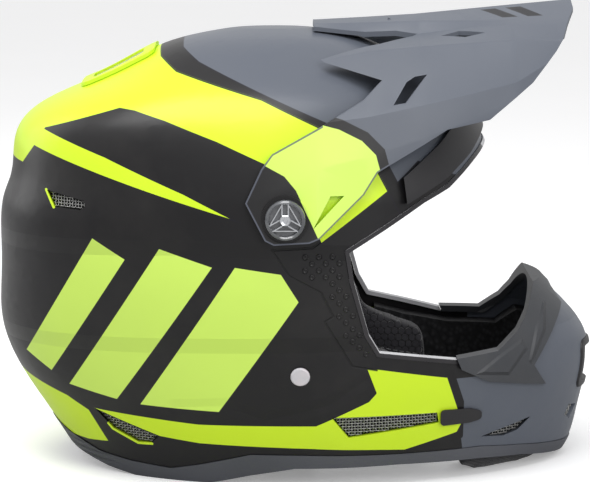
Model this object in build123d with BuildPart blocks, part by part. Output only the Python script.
from build123d import *

# A motocross helmet: a one-piece composite shell with a chin bar, a tilting visor on two
# side screws and a slotted centre tongue, a two-part impact liner joined by rubber dampers,
# removable pads, mesh-covered vents and a chin strap with two D-rings.
#
# Frame: +X to the wearer's front, +Y to the wearer's left, +Z up, millimetres. The lowest
# lands of the base trim stand on Z = 0, and the origin lies under the middle of the helmet.

import os
from collections import namedtuple
from functools import cache
from math import cos, degrees, hypot, radians, sin, sqrt

# ---------------------------------------------------------------- driving dimensions
SHELL_WALL = 4.0  # composite shell
OUTER_LINER_WALL = 17.6  # outer foam liner, between the shell and the damper gap
DAMPER_GAP = 5.0  # room between the two foam liners
INNER_LINER_WALL = 14.0  # inner foam liner
CROWN_PAD_WALL = 7.5  # washable comfort liner
CHEEK_PAD_WALL = 25.0
CHIN_FOAM_WALL = 15.6  # foam inside the chin bar
TRIM_WALL = 10.0  # base trim, measured inwards from the outer surface
SOFT_GAP = 0.6  # clearance round soft pieces
FIT_GAP = 0.3  # clearance round hard pieces
REACH = 200.0  # longer than any cut has to go

PIVOT_X, PIVOT_Z = -5.5, 162.0  # visor screw axis, along Y
VISOR_WALL = 2.4
VISOR_DOWN, VISOR_UP = 4.0, 6.0  # tilt either way from rest, degrees
BOSS_R, BOSS_SEAT_Y, BOSS_FACE_Y = 13.5, 124.2, 127.6  # round seat on each visor arm
SCREW_HEAD_R, SCREW_HEAD_H = 11.5, 4.4
SCREW_SHANK_R, SCREW_REACH = 3.0, 11.0
INSERT_R, INSERT_FLANGE_R, INSERT_FLANGE_H = 6.0, 9.5, 3.0
RUNNING_GAP = 0.05

RIVET_X, RIVET_Z, RIVET_Y = 3.0, 70.0, 115.0
RIVET_LEAN = 13.5  # the shell wall leans in below the widest level, degrees
RIVET_HEAD_R, RIVET_HEAD_H, RIVET_SHANK_R = 5.6, 1.8, 2.5
STRAP_WIDTH, STRAP_WALL = 25.0, 2.0
STRAP_DEPTH = 5.8  # the strap's middle behind the rivet, under the outer surface
RING_WIRE_R = 1.8
RING_WIDTH, RING_DEPTH = 30.4, 21.0  # between wire centres
RING_PITCH = 4.2  # between the two bars in the webbing loop
REAR_RING_TILT = 75.0  # how far the rear ring leans back on the front ring, degrees
LOOP_Y, LOOP_Z = -42.5, 6.4  # middle of the webbing loop that holds the D-rings
SNAP_R, SNAP_H = 6.0, 2.4

# ---------------------------------------------------------------- the outer surface
# The outer surface is a loft through level outlines. Each outline is a smooth curve from the
# back to the front, widest half-way, with the front half drawn in to a blunter or sharper nose.
Level = namedtuple("Level", "height back front half_width nose_power")
LEVELS = (
    Level(-20, -121, 146, 84, 1.75),
    Level(0, -133, 164, 92, 1.70),
    Level(20, -145, 173, 100, 1.68),
    Level(42, -159.5, 178, 108, 1.68),
    Level(80, -178.5, 177, 117, 1.72),
    Level(107, -180.2, 153, 121.5, 1.9),
    Level(135, -179.5, 134, 123.5, 2.1),
    Level(165, -176.5, 125, 122.5, 2.2),
    Level(192, -171, 116, 116, 2.2),
    Level(213, -160, 104, 106, 2.2),
    Level(232, -121.5, 86, 90, 2.2),
    Level(248, -90, 60, 66, 2.1),
    Level(256, -69, 41, 49, 2.1),
    Level(260.5, -48, 23, 30, 2.1),
    Level(262.5, -32, 8, 16, 2.1),
)
BACK_POWER = 2.2
WAIST = 135.0  # above this level the surface closes in over the crown
CROWN = LEVELS[-1].height
BACK_TURNS = (0, 15, 30, 45, 60, 75, 90)  # where an outline's points lie, degrees
FRONT_TURNS = (105, 120, 135, 150, 161, 169, 175)  # closer together near the nose
# Every outline has its points at the same stations, so that the loft runs true between them.
HALF_WAY = [turn / 360 for turn in BACK_TURNS + FRONT_TURNS]
STATIONS = HALF_WAY + [0.5] + [1 - station for station in HALF_WAY[::-1]]

# ---------------------------------------------------------------- side-view outlines, (X, Z)
SHELL_EDGE = [
    (-200, 28), (-148, 27), (-136, 21), (-117, 13), (-98, 10), (-73, 8), (-56, 12), (-26, 20),
    (3, 20), (61, 19), (110, 19), (135, 16), (166, 11), (210, 8),
]
TRIM_EDGE = [
    (-200, 16), (-148, 16), (-132, 9), (-112, 3), (-95, 0), (-50, 0), (-26, 6), (0, 11),
    (61, 12), (110, 11), (135, 9), (166, 3), (210, 0),
]
EYEPORT = [
    (28, 143), (50, 156), (73, 170), (88, 177), (104, 190), (120, 202), (230, 210), (230, 112),
    (146, 106), (140, 96), (134, 85), (122, 74), (96, 72), (72, 76), (47, 80), (40, 92), (31, 124),
]
NOSE_GUARD = [
    (94, 76), (97, 69), (114, 60), (150, 53), (142, 66), (162, 97), (157, 104), (154, 112),
    (143, 112), (137, 97), (131, 88), (119, 78),
]
OUTER_LINER = [
    (-200, 62), (-60, 62), (24, 76), (18, 142), (44, 164), (84, 187), (110, 208), (140, 214),
    (140, 290), (-200, 290),
]
INNER_LINER = [
    (-200, 104), (16, 104), (12, 143), (36, 168), (76, 192), (104, 213), (140, 220),
    (140, 290), (-200, 290),
]
CHIN_FOAM = [
    (52, 25), (104, 25), (140, 24), (190, 24), (190, 80), (140, 82), (128, 71), (98, 68.5),
    (72, 71), (52, 75),
]
CHEEK_PAD = [
    (-48, 40), (-40, 24), (40, 23), (68, 30), (84, 44), (82, 66), (62, 73), (45, 81), (38, 96),
    (-30, 92), (-48, 72),
]
NECK_ROLL = [(-200, 33), (-148, 33), (-117, 19), (-98, 15), (-73, 13), (-58, 16), (-58, 56), (-200, 56)]
CHIN_SKIRT = [(94, 18), (99, 4), (106, 0), (144, 0), (156, 4), (165, 18)]
BROW_INTAKE = [(64, 168), (88, 181), (103, 193), (112, 203), (122, 213), (100, 216), (84, 200), (62, 183)]
# Vents that open through both sides of the shell, (X, Z).
SIDE_VENTS = {
    "jaw": [(21, 44), (83, 43.5), (84, 37), (31, 31)],
    "chin_side": [(110, 25), (117, 27), (141, 33), (133, 26), (124, 23.5)],
    "rear_side": [(-144, 173), (-121, 169), (-120, 166), (-123, 163.5), (-139, 164)],
    "nape": [(-118, 43), (-104, 37.5), (-80, 28.5), (-84, 24), (-92, 23.5), (-107, 31)],
}
GRILLE_OUTSIDE, GRILLE_INSIDE = 1.4, 3.4  # a grille's depth below the outer surface
MOUTH_VENT = (46.0, 30.0, 58.0)  # width, height and middle height of the mouth opening
CHIN_FRONT_VENT = [(13, 32), (25, 34), (27, 28), (19, 24)]  # (Y, Z), seen from the front
VENT_TAB = [(85, 45), (103, 44.5), (110, 42), (110, 37), (103, 35.5), (85, 35)]
# The crown exhaust is a raised frame with two mesh windows: length, width and middle X.
CROWN_VENT = (44.0, 60.0, -106.0)
CROWN_WINDOW = (30.0, 20.0, 13.5)  # length, width, and distance of its middle from Y = 0

# ---------------------------------------------------------------- visor
# Half cross-sections of the visor's outer surface, (Y, Z) from the centre ridge outwards:
# ridge, spine edge, spine foot, shoulder crease, side crease, arm top, lower edge.
VISOR_SECTIONS = {
    -34: [(0, 272), (16, 271), (22, 268), (76, 256), (115, 214), (124, 190), (130, 144)],
    12: [(0, 267), (16, 265.4), (22, 264.4), (75, 247), (112.5, 214.5), (122, 190), (128.5, 146)],
    42: [(0, 268.6), (18, 266.2), (25, 260.5), (68, 252.5), (107.5, 218), (113, 196), (116, 170)],
    73: [(0, 270.5), (20, 267.4), (28, 260), (64, 255), (101, 224), (106, 206), (107, 196)],
    104: [(0, 273.5), (26, 268), (33, 264), (60, 257), (88, 230), (92, 216), (93, 208)],
    128: [(0, 275.8), (28, 268.4), (36, 266), (57, 258.4), (77, 235), (80, 226), (81, 219)],
    156: [(0, 278.4), (28, 269.5), (36, 266.8), (53, 258), (58, 250), (59, 246), (60, 240)],
    172: [(0, 279.8), (28, 270.6), (36, 267.8), (53, 259), (58, 251), (59, 247), (60, 241)],
}
VISOR_SIDE = [
    (-28, 171), (-19, 190), (-13, 198), (15, 213), (39, 226.5), (50, 237), (17, 246.5), (6, 254),
    (6, 300), (190, 300), (190, 270), (157, 258), (153, 252), (138, 234.5), (112, 214.5),
    (87, 210), (54, 191), (47, 187), (39, 174.5), (14, 151), (8, 148.5), (-12, 147.5), (-17, 150),
]
VISOR_NOTCH = [(-60, 21), (60, 25), (73, 28), (70, 34), (50, 52), (17, 72), (-60, 104)]  # (X, Y)
VISOR_TIP = [(167, 0), (167, 14), (157, 53), (157, 90), (200, 90), (200, 0)]  # (X, Y), cut away
VISOR_SPINE_BACK = 11.0
VISOR_SLOT = [(56, 224), (63, 225), (76, 240), (69, 239), (64, 236)]
VISOR_TOP_SLOT = [(86, 41), (97, 36), (112, 44), (100, 49)]  # (X, Y)

# The centre tongue is an arc round the pivot, so its slot slides past the fixed centre screw.
TONGUE_R, TONGUE_HALF_WIDTH = 121.0, 12.0
TONGUE_TOP, TONGUE_END = 60.0, 35.5  # where the tongue leaves the spine and where it ends, degrees
CENTRE_ANGLE = 45.0  # where the centre screw stands, degrees
CENTRE_SHANK_R, CENTRE_HEAD_R, CENTRE_HEAD_H = 2.5, 6.5, 3.5
POST_R, POST_FOOT_R, POST_FOOT_H = 5.5, 8.5, 3.0
POST_FOOT_TOP = 105.0  # from the pivot to the top of the foot, just under the shell

# ---------------------------------------------------------------- dampers
DAMPER_R = 7.0
DAMPER_CENTRE = (-28.0, 0.0, 135.0)
DAMPER_RINGS = {18.0: (105, 135, 165, 195, 225, 255), 50.0: range(0, 360, 45), 90.0: (0,)}


# ---------------------------------------------------------------- helpers
@cache
def skin(inset):
    """The closed body that lies everywhere inset under the outer surface."""
    with BuildPart() as body:
        for level in LEVELS:
            rise = max(0.0, (level.height - WAIST) / (CROWN - WAIST))
            draw_in = inset * sqrt(1 - rise**2)
            back, front = level.back + draw_in, level.front - draw_in
            middle, half_width = (back + front) / 2, level.half_width - draw_in
            points = [(back, 0)]
            for turn in BACK_TURNS[1:] + FRONT_TURNS:
                power = BACK_POWER if turn <= BACK_TURNS[-1] else level.nose_power
                end = back if turn <= BACK_TURNS[-1] else front
                along = abs(cos(radians(turn))) ** (2 / power)
                across_share = sin(radians(turn)) ** (2 / power)
                points.append((middle + (end - middle) * along, half_width * across_share))
            points.append((front, 0))
            with BuildSketch(Plane.XY.offset(level.height - inset * rise)):
                with BuildLine():
                    ring = points + [(x, -y) for x, y in points[-2:0:-1]]
                    add(Edge.make_spline(ring, periodic=True, parameters=STATIONS))
                make_face()
        loft()
    return body.part


@cache
def wall(outside, inside):
    """The wall between two depths under the outer surface."""
    return skin(outside) - skin(inside)


def layer(outside, inside):
    """Fills the active part with the wall between two depths under the outer surface."""
    add(wall(outside, inside), clean=False)


def hollow(inside):
    """Takes away what lies deeper than a depth under the outer surface."""
    add(skin(inside), mode=Mode.SUBTRACT)


def side_view(points, rounding=0.0, grow=0.0):
    """A side-view outline in the helmet's middle plane, rounded, and grown by an offset."""
    with BuildSketch(Plane.XZ) as view:
        with BuildLine():
            if rounding:
                FilletPolyline(*points, radius=rounding, close=True)
            else:
                Polyline(*points, close=True)
        make_face()
        if grow:
            offset(amount=grow, kind=Kind.INTERSECTION, mode=Mode.REPLACE)
    return view.sketch


def side_circle(x, z, radius):
    """A round outline in the helmet's middle plane."""
    with BuildSketch(Plane.XZ) as view:
        with Locations((x, z)):
            Circle(radius)
    return view.sketch


def front_view(width, height, middle, rounding):
    """A rounded rectangle that faces forwards, ahead of the wearer's face."""
    with BuildSketch(Plane.YZ.offset(100)) as view:
        with Locations((0, middle)):
            RectangleRounded(width, height, rounding)
    return view.sketch


def across(view, mode=Mode.SUBTRACT):
    """Takes a side view through the whole helmet."""
    extrude(view, amount=REACH, both=True, mode=mode)


def rightwards(view, mode=Mode.INTERSECT):
    """Takes a side view from the middle out through the wearer's right side."""
    extrude(view, amount=REACH, mode=mode)


def above(edge, lift=0.0):
    """The side-view area over a lower edge."""
    raised = [(x, z + lift) for x, z in edge]
    return raised + [(edge[-1][0], 400), (edge[0][0], 400)]


def below(edge, drop=0.0):
    """The side-view area under an upper edge."""
    lowered = [(x, z - drop) for x, z in edge]
    return lowered + [(edge[-1][0], -100), (edge[0][0], -100)]


def polar(radius, angle):
    """A side-view point at a distance and an angle from the visor's pivot."""
    return (PIVOT_X + radius * cos(radians(angle)), PIVOT_Z + radius * sin(radians(angle)))


def radial_plane(radius, angle):
    """The plane across a line out of the visor's pivot, in the helmet's middle."""
    x, z = polar(radius, angle)
    return Plane((x, 0, z), x_dir=(0, 1, 0), z_dir=(cos(radians(angle)), 0, sin(radians(angle))))


def sector(inner, outer, start, end):
    """A side-view band round the visor's pivot, between two angles."""
    with BuildSketch(Plane.XZ) as view:
        with BuildLine():
            CenterArc((PIVOT_X, PIVOT_Z), outer, start, end - start)
            CenterArc((PIVOT_X, PIVOT_Z), inner, start, end - start)
            Line(polar(inner, start), polar(outer, start))
            Line(polar(inner, end), polar(outer, end))
        make_face()
    return view.sketch


def rivet_plane(side, depth):
    """The plane of a strap rivet's head, some way under the shell's outer surface."""
    lean = radians(RIVET_LEAN)
    out = (0, side * cos(lean), -sin(lean))
    return Plane((RIVET_X, side * RIVET_Y, RIVET_Z), x_dir=(1, 0, 0), z_dir=out).offset(-depth)


def strap_point(depth, along):
    """A point (|Y|, Z) on the strap's line behind the rivet, some way down the shell's wall."""
    lean = radians(RIVET_LEAN)
    y = RIVET_Y - depth * cos(lean) - along * sin(lean)
    return (y, RIVET_Z + depth * sin(lean) - along * cos(lean))


def inward(points, wall):
    """A cross-section's line moved inwards by the wall, corner by corner."""
    moved = []
    for i, (y, z) in enumerate(points):
        before, after = points[max(i - 1, 0)], points[min(i + 1, len(points) - 1)]
        into = [hypot(y - before[0], z - before[1]), hypot(after[0] - y, after[1] - z)]
        normals = [
            ((b[1] - a[1]) / size, -(b[0] - a[0]) / size)
            for a, b, size in ((before, (y, z), into[0]), ((y, z), after, into[1]))
            if size > 0
        ]
        total = (sum(n[0] for n in normals), sum(n[1] for n in normals))
        size = hypot(*total)
        stretch = len(normals) / size if size else 1.0
        ny, nz = total[0] / size, total[1] / size
        moved.append((y + ny * wall * min(stretch, 1.4), z + nz * wall * min(stretch, 1.4)))
    return [(0.0, points[0][1] - wall)] + moved[1:]


def save(part, name):
    """Writes a finished piece as its own node."""
    part.label = name
    export_step(part, f"parts/{name}.step")


def save_pair(part, name):
    """Writes a right-hand piece and its mirror image."""
    save(part, f"{name}_right")
    with BuildPart() as other:
        mirror(part, about=Plane.XZ)
    save(other.part, f"{name}_left")


os.makedirs("parts", exist_ok=True)

# Depths under the outer surface where one layer ends and the next begins.
OUTER_LINER_FACE = SHELL_WALL + SOFT_GAP
DAMPER_FACE = OUTER_LINER_FACE + OUTER_LINER_WALL
INNER_LINER_FACE = DAMPER_FACE + DAMPER_GAP
CROWN_PAD_FACE = INNER_LINER_FACE + INNER_LINER_WALL + SOFT_GAP
CHEEK_PAD_FACE = DAMPER_FACE + SOFT_GAP
CHIN_FOAM_INNER = OUTER_LINER_FACE + CHIN_FOAM_WALL
GUARD_WALL = 3.0

# ---------------------------------------------------------------- outer shell
with BuildPart() as outer_shell:
    layer(0, SHELL_WALL)
    across(side_view(below(SHELL_EDGE)))
    across(side_view(EYEPORT, rounding=2.0))
    for vent in SIDE_VENTS.values():
        across(side_view(vent))
    extrude(front_view(*MOUTH_VENT, 6), amount=REACH, mode=Mode.SUBTRACT)
    with BuildSketch(Plane.YZ.offset(100)):
        with BuildLine():
            Polyline(*CHIN_FRONT_VENT, close=True)
        make_face()
        mirror(about=Plane.YZ)
    extrude(amount=REACH, mode=Mode.SUBTRACT)
    across(side_circle(PIVOT_X, PIVOT_Z, INSERT_R + FIT_GAP / 2))
    with BuildSketch(rivet_plane(1, 15), rivet_plane(-1, 15)):
        Circle(RIVET_SHANK_R + FIT_GAP / 2)
    extrude(amount=30, mode=Mode.SUBTRACT)
    with BuildSketch(radial_plane(POST_FOOT_TOP - 20, CENTRE_ANGLE)):
        Circle(POST_R + FIT_GAP / 2)
    extrude(amount=40, mode=Mode.SUBTRACT)
save(outer_shell.part, "outer_shell")

# ---------------------------------------------------------------- base trim and eyeport edging
with BuildPart() as base_trim:
    layer(-0.6, TRIM_WALL)
    across(side_view(above(TRIM_EDGE)), Mode.INTERSECT)
    across(side_view(above(SHELL_EDGE, -FIT_GAP)))
save(base_trim.part, "base_trim")

with BuildPart() as eyeport_edging:
    layer(-0.8, 6.5)
    across(side_view(EYEPORT, rounding=2.0, grow=-0.2), Mode.INTERSECT)
    across(side_view(EYEPORT, rounding=2.0, grow=-2.6))
    across(side_view(NOSE_GUARD, grow=FIT_GAP))
save(eyeport_edging.part, "eyeport_edging")

# ---------------------------------------------------------------- nose guard over the chin bar's lip
with BuildPart() as lip_room:
    add(skin(-0.25))
    across(side_view(EYEPORT, rounding=2.0, grow=-0.25))

with BuildPart() as nose_guard:
    layer(-GUARD_WALL, 8)
    across(side_view(NOSE_GUARD), Mode.INTERSECT)
    add(lip_room.part, mode=Mode.SUBTRACT)
save(nose_guard.part, "nose_guard")

# ---------------------------------------------------------------- foam liners
with BuildPart() as outer_liner:
    layer(OUTER_LINER_FACE, DAMPER_FACE)
    across(side_view(OUTER_LINER), Mode.INTERSECT)
    across(side_circle(PIVOT_X, PIVOT_Z, INSERT_FLANGE_R + 1))
    with BuildSketch(Plane.XZ):
        with Locations((RIVET_X, RIVET_Z + 2)):
            Rectangle(STRAP_WIDTH + 6, 36)
    extrude(amount=REACH, both=True, mode=Mode.SUBTRACT)
    with BuildSketch(radial_plane(POST_FOOT_TOP - 40, CENTRE_ANGLE)):
        Circle(POST_FOOT_R + 1)
    extrude(amount=60, mode=Mode.SUBTRACT)
save(outer_liner.part, "outer_liner")

with BuildPart() as inner_liner:
    layer(INNER_LINER_FACE, INNER_LINER_FACE + INNER_LINER_WALL)
    across(side_view(INNER_LINER), Mode.INTERSECT)
save(inner_liner.part, "inner_liner")

with BuildPart() as crown_pad:
    layer(CROWN_PAD_FACE, CROWN_PAD_FACE + CROWN_PAD_WALL)
    across(side_view(INNER_LINER), Mode.INTERSECT)
save(crown_pad.part, "crown_pad")

with BuildPart() as chin_bar_foam:
    layer(OUTER_LINER_FACE, CHIN_FOAM_INNER)
    across(side_view(CHIN_FOAM), Mode.INTERSECT)
    width, height, middle = MOUTH_VENT
    extrude(front_view(width - 6, height - 8, middle, 5), amount=REACH, mode=Mode.SUBTRACT)
save(chin_bar_foam.part, "chin_bar_foam")

# ---------------------------------------------------------------- dampers across the liner gap
with BuildPart() as damper_room:
    layer(DAMPER_FACE + FIT_GAP, INNER_LINER_FACE - FIT_GAP)

with BuildPart() as dampers:
    for rise, headings in DAMPER_RINGS.items():
        for heading in headings:
            level = cos(radians(rise))
            out = (level * cos(radians(heading)), level * sin(radians(heading)), sin(radians(rise)))
            with BuildSketch(Plane(DAMPER_CENTRE, z_dir=out)):
                Circle(DAMPER_R)
            extrude(amount=REACH)
    add(damper_room.part, mode=Mode.INTERSECT)
save(dampers.part, "dampers")

# ---------------------------------------------------------------- soft pads
with BuildPart() as cheek_pad:
    layer(CHEEK_PAD_FACE, CHEEK_PAD_FACE + CHEEK_PAD_WALL)
    rightwards(side_view(CHEEK_PAD, rounding=3.0))
save_pair(cheek_pad.part, "cheek_pad")

with BuildPart() as snap_room:
    layer(CHIN_FOAM_INNER + 0.1, CHEEK_PAD_FACE - 0.1)

with BuildPart() as cheek_pad_snaps:
    with BuildSketch(Plane.XZ):
        with Locations((58, 40), (74, 56), (60, 60)):
            Circle(4.5)
    extrude(amount=REACH, both=True)
    add(snap_room.part, mode=Mode.INTERSECT)
save(cheek_pad_snaps.part, "cheek_pad_snaps")

with BuildPart() as neck_roll:
    layer(SHELL_WALL + SOFT_GAP, 30)
    across(side_view(NECK_ROLL), Mode.INTERSECT)
save(neck_roll.part, "neck_roll")

with BuildPart() as chin_skirt:
    layer(TRIM_WALL + SOFT_GAP, 34)
    across(side_view(CHIN_SKIRT), Mode.INTERSECT)
save(chin_skirt.part, "chin_skirt")

# ---------------------------------------------------------------- vents
for vent_name, vent in SIDE_VENTS.items():
    with BuildPart() as grille:
        add(skin(GRILLE_OUTSIDE))
        rightwards(side_view(vent, grow=-FIT_GAP))
        hollow(GRILLE_INSIDE)
    save_pair(grille.part, f"{vent_name}_grille")

with BuildPart() as chin_front_grille:
    add(skin(GRILLE_OUTSIDE))
    with BuildSketch(Plane.YZ.offset(100)):
        with BuildLine():
            Polyline(*CHIN_FRONT_VENT, close=True)
        make_face()
        offset(amount=-FIT_GAP, kind=Kind.INTERSECTION, mode=Mode.REPLACE)
        mirror(about=Plane.YZ)
    extrude(amount=REACH, mode=Mode.INTERSECT)
    hollow(GRILLE_INSIDE)
save(chin_front_grille.part, "chin_front_grilles")

with BuildPart() as mouth_vent_frame:
    layer(-1.2, SHELL_WALL)
    extrude(front_view(width - 0.6, height - 0.6, middle, 5.7), amount=REACH, mode=Mode.INTERSECT)
    extrude(front_view(width - 8, height - 8, middle, 3), amount=REACH, mode=Mode.SUBTRACT)
save(mouth_vent_frame.part, "mouth_vent_frame")

with BuildPart() as mouth_grille:
    add(skin(GRILLE_OUTSIDE))
    extrude(front_view(width - 8.4, height - 8.4, middle, 2.8), amount=REACH, mode=Mode.INTERSECT)
    hollow(GRILLE_INSIDE)
save(mouth_grille.part, "mouth_grille")

with BuildPart() as vent_tab:
    add(skin(-2.2))
    rightwards(side_view(VENT_TAB, rounding=2.4))
    hollow(-FIT_GAP)
save_pair(vent_tab.part, "vent_tab")

length, width, crown_x = CROWN_VENT
window_length, window_width, window_y = CROWN_WINDOW
with BuildPart() as crown_vent_frame:
    add(skin(-2.6))
    with BuildSketch(Plane.XY.offset(200)):
        with Locations((crown_x, 0)):
            RectangleRounded(length, width, 6)
        with Locations((crown_x, window_y), (crown_x, -window_y)):
            RectangleRounded(window_length, window_width, 3, mode=Mode.SUBTRACT)
    extrude(amount=REACH, mode=Mode.INTERSECT)
    hollow(-FIT_GAP)
save(crown_vent_frame.part, "crown_vent_frame")

with BuildPart() as crown_vent_grilles:
    add(skin(-1.6))
    with BuildSketch(Plane.XY.offset(200)):
        with Locations((crown_x, window_y), (crown_x, -window_y)):
            RectangleRounded(window_length - 2 * FIT_GAP, window_width - 2 * FIT_GAP, 2.8)
    extrude(amount=REACH, mode=Mode.INTERSECT)
    hollow(-FIT_GAP)
save(crown_vent_grilles.part, "crown_vent_grilles")

with BuildPart() as brow_intake:
    layer(-4.5, -FIT_GAP)
    across(side_view(BROW_INTAKE), Mode.INTERSECT)
    with BuildSketch(Plane.YZ.offset(40)):
        with Locations((-38, 192), (-14, 198), (14, 198), (38, 192)):
            RectangleRounded(16, 7, 2)
    extrude(amount=REACH, mode=Mode.SUBTRACT)
save(brow_intake.part, "brow_intake")

# ---------------------------------------------------------------- visor
with BuildPart() as visor:
    for station, outer in VISOR_SECTIONS.items():
        with BuildSketch(Plane.YZ.offset(station)):
            with BuildLine():
                Polyline(*outer, *inward(outer, VISOR_WALL)[::-1], close=True)
            make_face()
            mirror(about=Plane.YZ)
    loft(ruled=True)
    across(side_view(VISOR_SIDE), Mode.INTERSECT)
    with BuildSketch(Plane.XY.offset(200)):
        for cut in (VISOR_NOTCH, VISOR_TIP, VISOR_TOP_SLOT):
            with BuildLine():
                Polyline(*cut, close=True)
            make_face()
        mirror(about=Plane.XZ)
    extrude(amount=REACH, mode=Mode.SUBTRACT)
    with BuildSketch(Plane.XY.offset(240)):
        with Locations((VISOR_SPINE_BACK - 50, 0)):
            Rectangle(100, 60)
    extrude(amount=REACH, mode=Mode.SUBTRACT)
    across(side_view(VISOR_SLOT))
    tongue = sector(TONGUE_R, TONGUE_R + VISOR_WALL, TONGUE_END, TONGUE_TOP)
    extrude(tongue, amount=TONGUE_HALF_WIDTH, both=True)
    slot_end = degrees((CENTRE_SHANK_R + FIT_GAP) / TONGUE_R)
    slot_room = CENTRE_SHANK_R + FIT_GAP
    slot = sector(
        TONGUE_R - 1,
        TONGUE_R + VISOR_WALL + 1,
        CENTRE_ANGLE - VISOR_UP - slot_end,
        CENTRE_ANGLE + VISOR_DOWN + slot_end,
    )
    extrude(slot, amount=slot_room, both=True, mode=Mode.SUBTRACT)
    for side in (1, -1):
        with BuildSketch(Plane.XZ.offset(side * BOSS_SEAT_Y)) as boss:
            with Locations((PIVOT_X, PIVOT_Z)):
                Circle(BOSS_R)
        extrude(amount=side * (BOSS_FACE_Y - BOSS_SEAT_Y))
        extrude(boss.sketch, amount=-side * BOSS_SEAT_Y / 2, mode=Mode.SUBTRACT)
        with BuildSketch(Plane.XZ.offset(side * BOSS_FACE_Y)):
            with Locations((PIVOT_X, PIVOT_Z)):
                Circle(BOSS_R)
        extrude(amount=side * 10, mode=Mode.SUBTRACT)
    across(side_circle(PIVOT_X, PIVOT_Z, SCREW_SHANK_R + RUNNING_GAP))
save(visor.part, "visor")

# ---------------------------------------------------------------- visor screws and their inserts
INSERT_FACE_Y = BOSS_SEAT_Y - FIT_GAP
with BuildPart() as visor_insert:
    wall_y = LEVELS[7].half_width - SHELL_WALL - 1.6
    with BuildSketch(Plane.XZ.offset(wall_y - INSERT_FLANGE_H)):
        with Locations((PIVOT_X, PIVOT_Z)):
            Circle(INSERT_FLANGE_R)
    extrude(amount=INSERT_FLANGE_H)
    with BuildSketch(Plane.XZ.offset(wall_y)):
        with Locations((PIVOT_X, PIVOT_Z)):
            Circle(INSERT_R)
    extrude(amount=INSERT_FACE_Y - wall_y)
    across(side_circle(PIVOT_X, PIVOT_Z, SCREW_SHANK_R + RUNNING_GAP))
save_pair(visor_insert.part, "visor_insert")

HEAD_Y = BOSS_FACE_Y + FIT_GAP
with BuildPart() as visor_screw:
    with BuildSketch(Plane.XZ.offset(HEAD_Y - SCREW_REACH)):
        with Locations((PIVOT_X, PIVOT_Z)):
            Circle(SCREW_SHANK_R)
    extrude(amount=SCREW_REACH)
    with BuildSketch(Plane.XZ.offset(HEAD_Y)):
        with Locations((PIVOT_X, PIVOT_Z)):
            Circle(SCREW_HEAD_R)
    extrude(amount=SCREW_HEAD_H)
    chamfer(visor_screw.faces().sort_by(Axis.Y)[0].edges(), 1.2)
    with BuildSketch(Plane.XZ.offset(HEAD_Y + SCREW_HEAD_H - 1.6)):
        with Locations((PIVOT_X, PIVOT_Z)):
            with PolarLocations(5.6, 3, start_angle=30):
                Circle(3.0)
    extrude(amount=2.0, mode=Mode.SUBTRACT)
save_pair(visor_screw.part, "visor_screw")

tongue_top = TONGUE_R + VISOR_WALL + FIT_GAP
with BuildPart() as centre_post:
    with BuildSketch(radial_plane(POST_FOOT_TOP - POST_FOOT_H, CENTRE_ANGLE)):
        Circle(POST_FOOT_R)
    extrude(amount=POST_FOOT_H)
    with BuildSketch(radial_plane(POST_FOOT_TOP, CENTRE_ANGLE)):
        Circle(POST_R)
    extrude(amount=TONGUE_R - FIT_GAP - POST_FOOT_TOP)
    with BuildSketch(radial_plane(POST_FOOT_TOP, CENTRE_ANGLE)):
        Circle(CENTRE_SHANK_R + RUNNING_GAP)
    extrude(amount=30, mode=Mode.SUBTRACT)
save(centre_post.part, "centre_post")

with BuildPart() as centre_screw:
    with BuildSketch(radial_plane(POST_FOOT_TOP + 4, CENTRE_ANGLE)):
        Circle(CENTRE_SHANK_R)
    extrude(amount=tongue_top - POST_FOOT_TOP - 4)
    with BuildSketch(radial_plane(tongue_top, CENTRE_ANGLE)):
        Circle(CENTRE_HEAD_R)
    extrude(amount=CENTRE_HEAD_H)
    with BuildSketch(radial_plane(tongue_top + CENTRE_HEAD_H - 1.5, CENTRE_ANGLE)):
        Rectangle(2 * CENTRE_HEAD_R + 1, 1.4)
    extrude(amount=2, mode=Mode.SUBTRACT)
save(centre_screw.part, "visor_centre_screw")

# ---------------------------------------------------------------- chin strap
with BuildPart() as strap_rivet:
    with BuildSketch(rivet_plane(-1, -0.5)):
        Circle(RIVET_HEAD_R)
    extrude(amount=RIVET_HEAD_H)
    chamfer(strap_rivet.faces().sort_by(Axis.Y)[0].edges(), 0.7)
    with BuildSketch(rivet_plane(-1, 7.2)):
        Circle(RIVET_SHANK_R)
    extrude(amount=7.7)
    with BuildSketch(rivet_plane(-1, 8.7)):
        Circle(RIVET_HEAD_R)
    extrude(amount=1.5)
save_pair(strap_rivet.part, "strap_rivet")

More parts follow.
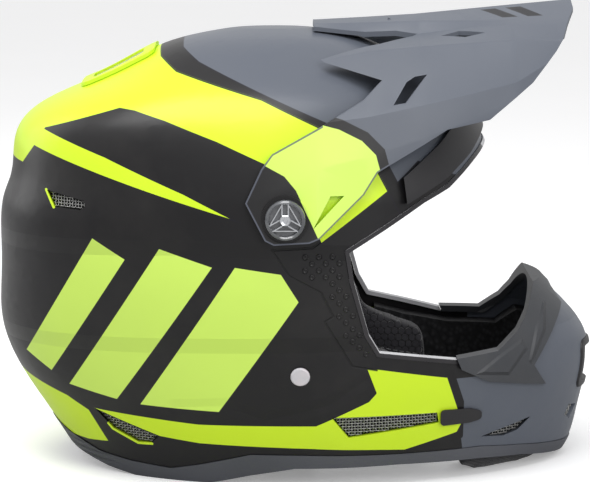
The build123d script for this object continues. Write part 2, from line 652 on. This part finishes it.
STRAP_LINE = [
    strap_point(STRAP_DEPTH, -9), strap_point(STRAP_DEPTH, 14), (98, 40), (87, 24), (81, 12), (72, LOOP_Z),
]
STRAP_START = RIVET_X - STRAP_WIDTH / 2
loop_room = RING_WIRE_R + 0.3
with BuildPart() as chin_strap_right:
    with BuildSketch(Plane.YZ.offset(STRAP_START)):
        with BuildLine():
            route = [(-y, z) for y, z in STRAP_LINE]
            FilletPolyline(*route, (LOOP_Y - RING_PITCH / 2 - 2, LOOP_Z), radius=6)
        trace(line_width=STRAP_WALL)
        with Locations((LOOP_Y, LOOP_Z)):
            SlotCenterToCenter(RING_PITCH, 2 * (loop_room + STRAP_WALL))
            SlotCenterToCenter(RING_PITCH, 2 * loop_room, mode=Mode.SUBTRACT)
    extrude(amount=STRAP_WIDTH)
    with BuildSketch(rivet_plane(-1, 15)):
        Circle(RIVET_SHANK_R + 0.15)
    extrude(amount=30, mode=Mode.SUBTRACT)
save(chin_strap_right.part, "chin_strap_right")

with BuildPart() as chin_strap_left:
    with BuildSketch(Plane.YZ.offset(STRAP_START)):
        with BuildLine():
            FilletPolyline(*STRAP_LINE, (36, LOOP_Z), radius=6)
        trace(line_width=STRAP_WALL)
    extrude(amount=STRAP_WIDTH)
    with BuildSketch(rivet_plane(1, 15)):
        Circle(RIVET_SHANK_R + 0.15)
    extrude(amount=30, mode=Mode.SUBTRACT)
save(chin_strap_left.part, "chin_strap_left")

with BuildPart() as strap_snap:
    with BuildSketch(Plane.XY.offset(LOOP_Z + STRAP_WALL / 2)):
        with Locations((RIVET_X, 46)):
            Circle(SNAP_R)
    extrude(amount=SNAP_H)
save(strap_snap.part, "strap_snap")


def d_ring(bar_y, tilt):
    """A D-ring whose straight bar lies along X in the webbing loop, tilted up about the bar."""
    turn = radians(tilt)
    plane = Plane(
        (RIVET_X, bar_y, LOOP_Z), x_dir=(1, 0, 0), z_dir=(0, -sin(turn), cos(turn))
    )
    half, bow = RING_WIDTH / 2, RING_DEPTH - RING_WIDTH / 2
    with BuildPart() as ring:
        with BuildLine(plane) as wire:
            bar = Line((-half, 0), (half, 0))
            Line(bar @ 1, (half, bow))
            CenterArc((0, bow), half, 0, 180)
            Line((-half, bow), bar @ 0)
        with BuildSketch(Plane(wire.line @ 0, z_dir=wire.line % 0)):
            Circle(RING_WIRE_R)
        sweep(path=wire.line, transition=Transition.RIGHT)
    return ring.part


save(d_ring(LOOP_Y + RING_PITCH / 2, 0.0), "d_ring_front")
save(d_ring(LOOP_Y - RING_PITCH / 2, REAR_RING_TILT), "d_ring_rear")
